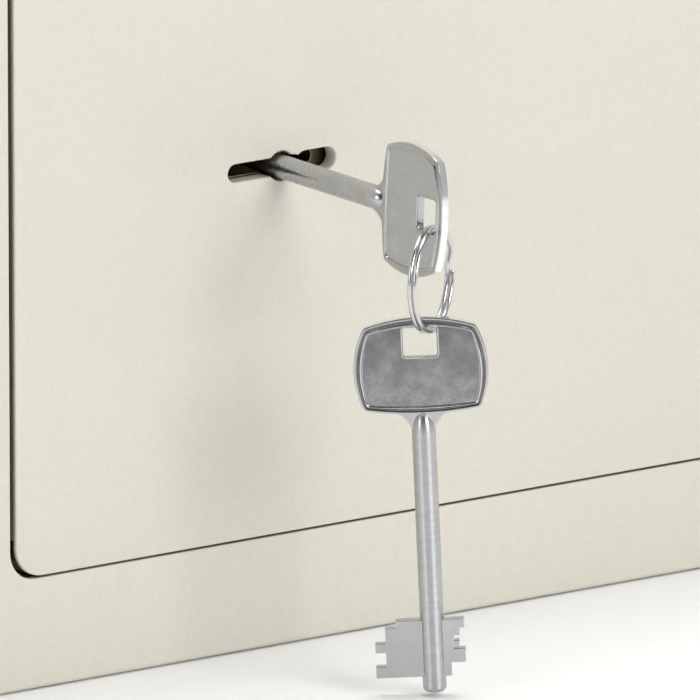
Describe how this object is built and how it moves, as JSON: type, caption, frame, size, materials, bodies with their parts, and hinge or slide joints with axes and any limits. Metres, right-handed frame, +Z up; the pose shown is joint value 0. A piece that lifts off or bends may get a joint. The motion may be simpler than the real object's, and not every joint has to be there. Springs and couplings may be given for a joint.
{
  "type": "fireproof document box",
  "caption": "Small double-walled fire-resistant steel box with a flush hinged door, a double-bit lever lock with its key turned in it, and a spare key on a split ring.",
  "frame": {"origin": "middle of the casing's underside", "axes": "+Z up, +Y from the door towards the back, +X to the right of someone facing the door"},
  "size_m": [0.4, 0.4077, 0.226],
  "materials": {
    "cream_powder_coat": "fine orange-peel powder coat",
    "fire_filling": "rough cast mineral filling",
    "zinc_plated_steel": "zinc plated",
    "brass_plate": "stamped sheet",
    "nickel_plate": "satin nickel with polished edges",
    "fire_seal": "intumescent strip"
  },
  "bodies": {
    "cabinet": {"outer_casing": "cream_powder_coat", "back_panel": "cream_powder_coat", "door_jamb": "cream_powder_coat", "inner_liner": "cream_powder_coat", "fire_seal": "fire_seal", "strike_plate": "zinc_plated_steel", "upper_hinge_bush": "zinc_plated_steel", "lower_hinge_bush": "zinc_plated_steel", "filling_bottom": "fire_filling", "filling_top": "fire_filling", "filling_left": "fire_filling", "filling_right": "fire_filling", "filling_back": "fire_filling"},
    "door": {"door_plate": "cream_powder_coat", "door_inner_pan": "cream_powder_coat", "door_filling": "fire_filling", "plug_filling": "fire_filling", "upper_hinge_pin": "zinc_plated_steel", "lower_hinge_pin": "zinc_plated_steel", "lock_case": "zinc_plated_steel", "lock_cover": "zinc_plated_steel", "lever_post": "zinc_plated_steel", "guide_post_left": "zinc_plated_steel", "guide_post_right": "zinc_plated_steel", "lever_spring": "zinc_plated_steel", "lock_screw_1": "zinc_plated_steel", "lock_screw_2": "zinc_plated_steel", "lock_screw_3": "zinc_plated_steel", "lock_screw_4": "zinc_plated_steel", "pan_screw_1": "zinc_plated_steel", "pan_screw_2": "zinc_plated_steel", "pan_screw_3": "zinc_plated_steel", "pan_screw_4": "zinc_plated_steel"},
    "bolt": {"locking_bolt": "zinc_plated_steel", "talon_plate": "zinc_plated_steel", "gate_stump": "zinc_plated_steel", "bolt_pin": "zinc_plated_steel"},
    "lever_pack": {"lever_1": "brass_plate", "lever_2": "brass_plate", "lever_3": "brass_plate", "lever_4": "brass_plate", "lever_5": "brass_plate", "lever_6": "brass_plate", "lever_7": "brass_plate"},
    "turned_key": {"lock_key": "nickel_plate"},
    "split_ring": {"key_ring": "nickel_plate"},
    "hanging_key": {"spare_key": "nickel_plate"}
  },
  "joints": [
    {"name": "door_hinge", "type": "hinge", "parent": "cabinet", "child": "door", "pos_m": [0.16, -0.1625, 0.113], "axis": [0, 0, 1], "range_deg": [0, 100]},
    {"name": "key_turn", "type": "hinge", "parent": "door", "child": "turned_key", "pos_m": [-0.0963, -0.162, 0.113], "axis": [0, 0.9999, 0.0166], "range_deg": [-92.6, 87.4]},
    {"name": "bolt_slide", "type": "slide", "parent": "door", "child": "bolt", "axis": [-1, 0, 0], "range_m": [-0.0124, 0.0117]},
    {"name": "lever_lift", "type": "hinge", "parent": "door", "child": "lever_pack", "pos_m": [-0.066, -0.157, 0.113], "axis": [0, 1, 0], "range_deg": [-1.2, 1.2], "stiffness_Nm_per_rad": 0.5},
    {"name": "ring_swing", "type": "hinge", "parent": "turned_key", "child": "split_ring", "pos_m": [-0.09657, -0.22686, 0.1023], "axis": [-0.5299, 0.848, 0], "range_deg": [-90, 95]},
    {"name": "spare_key_swing", "type": "hinge", "parent": "split_ring", "child": "hanging_key", "pos_m": [-0.09841, -0.22823, 0.08523], "axis": [-0.848, -0.5299, 0], "range_deg": [-29, 29]}
  ],
  "couplings": [
    {"joint": "bolt_slide", "follows": "key_turn", "m_per_rad": 0.0076394},
    {"joint": "ring_swing", "follows": "key_turn", "ratio": -1},
    {"joint": "spare_key_swing", "follows": "key_turn", "ratio": 0.31}
  ]
}
